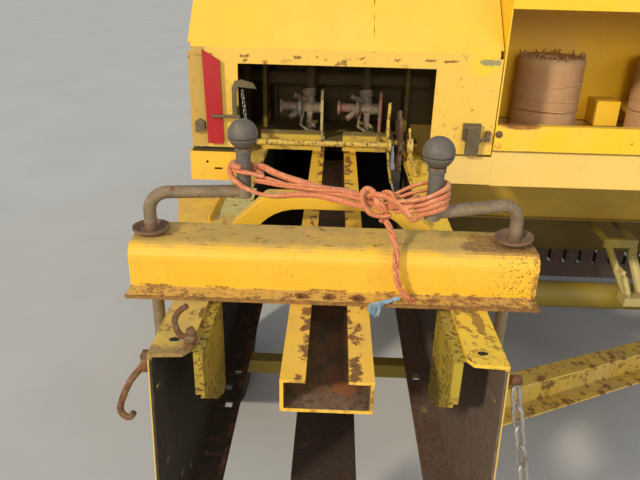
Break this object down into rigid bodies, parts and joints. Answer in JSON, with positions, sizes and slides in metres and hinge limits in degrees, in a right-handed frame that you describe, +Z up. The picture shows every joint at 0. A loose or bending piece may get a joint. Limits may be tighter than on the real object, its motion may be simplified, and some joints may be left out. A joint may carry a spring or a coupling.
{
  "type": "square baler",
  "caption": "Towed square baler: open-ended bale chamber with tension beams and cranks, knotter hood, twine box, offset tined pickup, flywheel, drawbar and jack.",
  "frame": {"origin": "middle of the object's box, on the ground under the wheels", "axes": "+X to the machine's right, +Y forward towards the drawbar's hitch, +Z up"},
  "size_m": [2.59, 4.986, 1.511],
  "materials": {
    "yellow_paint": "worn gloss with rust at edges and bends",
    "faded_yellow": "dull and faded, rusted edges",
    "rusty_steel": "rusted brown with remains of yellow paint",
    "rusty_rod": "even fine rust",
    "dark_iron": "oily dark iron",
    "grey_iron": "dull grey paint with oil",
    "light_alloy": "worn bright casting",
    "paper_wrap": "brown wrapping paper, creased",
    "red_plate": "red reflector plate, glossy",
    "red_paint": "worn red paint",
    "black_tyre": "dusty black rubber",
    "black_guard": "dull black guard",
    "bare_steel": "bare steel, scratched",
    "orange_twine": "flattened plastic twine strands",
    "blue_twine": "frayed light blue twine"
  },
  "bodies": {
    "chassis": {"chamber_side_left": "rusty_steel", "chamber_side_right": "rusty_steel", "plunger_housing": "yellow_paint", "plunger_block": "dark_iron", "top_rail": "yellow_paint", "bottom_rail": "rusty_steel", "chamber_frame": "yellow_paint", "beam_upper": "yellow_paint", "beam_lower": "yellow_paint", "crank_left": "rusty_rod", "crank_right": "rusty_rod", "arch_bridge": "yellow_paint", "side_wedges": "yellow_paint", "wall_hooks": "rusty_rod", "side_chain": "rusty_rod", "left_ledge": "yellow_paint", "tail_panel": "yellow_paint", "axle": "yellow_paint", "axle_saddles": "yellow_paint", "axle_brace": "faded_yellow", "lift_springs": "grey_iron", "front_frame": "yellow_paint", "gearbox": "grey_iron", "feeder_housing": "yellow_paint", "feeder_fingers": "light_alloy", "twine_box": "yellow_paint", "twine_balls": "paper_wrap", "knotter_frame": "yellow_paint", "knotters": "dark_iron", "knotter_drive": "dark_iron", "needles": "dark_iron", "twine_guide": "faded_yellow", "hood_hinge_rail": "yellow_paint", "lashing_twine": "orange_twine", "twine_loops": "orange_twine", "twine_tail": "orange_twine", "blue_tie": "blue_twine"},
    "hood": {"hood_shell": "yellow_paint", "hood_latches": "rusty_rod", "reflector_plate": "red_plate"},
    "wheel_left": {"tyre_left": "black_tyre", "rim_left": "yellow_paint"},
    "wheel_right": {"tyre_right": "black_tyre", "rim_right": "yellow_paint"},
    "metering": {"metering_wheel": "dark_iron"},
    "flywheel": {"flywheel": "red_paint"},
    "drawbar": {"drawbar": "red_paint", "pto_shaft": "black_guard", "jack_tube": "red_paint"},
    "jack": {"jack_leg": "bare_steel"},
    "pickup": {"pickup_frame": "yellow_paint", "strippers": "yellow_paint", "windguard": "yellow_paint"},
    "reel": {"pickup_reel": "dark_iron"},
    "gauge": {"gauge_wheel": "black_tyre"}
  },
  "joints": [
    {"name": "wheel_left_spin", "type": "hinge", "parent": "chassis", "child": "wheel_left", "pos_m": [-1.2, -1.133, 0.385], "axis": [1, 0, 0], "continuous": true},
    {"name": "wheel_right_spin", "type": "hinge", "parent": "chassis", "child": "wheel_right", "pos_m": [1.2, -1.133, 0.385], "axis": [1, 0, 0], "continuous": true},
    {"name": "hood_lift", "type": "hinge", "parent": "chassis", "child": "hood", "pos_m": [-0.81, -1.016, 1.234], "axis": [-1, 0, 0], "range_deg": [0, 60]},
    {"name": "metering_spin", "type": "hinge", "parent": "chassis", "child": "metering", "pos_m": [-0.628, -1.427, 1.07], "axis": [1, 0, 0], "continuous": true},
    {"name": "flywheel_spin", "type": "hinge", "parent": "chassis", "child": "flywheel", "pos_m": [-0.81, 0.763, 0.84], "axis": [0, 1, 0], "continuous": true},
    {"name": "drawbar_swing", "type": "hinge", "parent": "chassis", "child": "drawbar", "pos_m": [-0.81, 1.023, 0.45], "axis": [0, 0, 1], "range_deg": [-6, 22]},
    {"name": "jack_slide", "type": "slide", "parent": "drawbar", "child": "jack", "axis": [0, 0, 1], "range_m": [0, 0.3]},
    {"name": "pickup_lift", "type": "hinge", "parent": "chassis", "child": "pickup", "pos_m": [-0.48, -0.457, 0.56], "axis": [1, 0, 0], "range_deg": [0, 14]},
    {"name": "reel_spin", "type": "hinge", "parent": "pickup", "child": "reel", "pos_m": [-0.48, -0.207, 0.42], "axis": [1, 0, 0], "continuous": true},
    {"name": "gauge_spin", "type": "hinge", "parent": "pickup", "child": "gauge", "pos_m": [1.093, -0.267, 0.19], "axis": [1, 0, 0], "continuous": true}
  ]
}
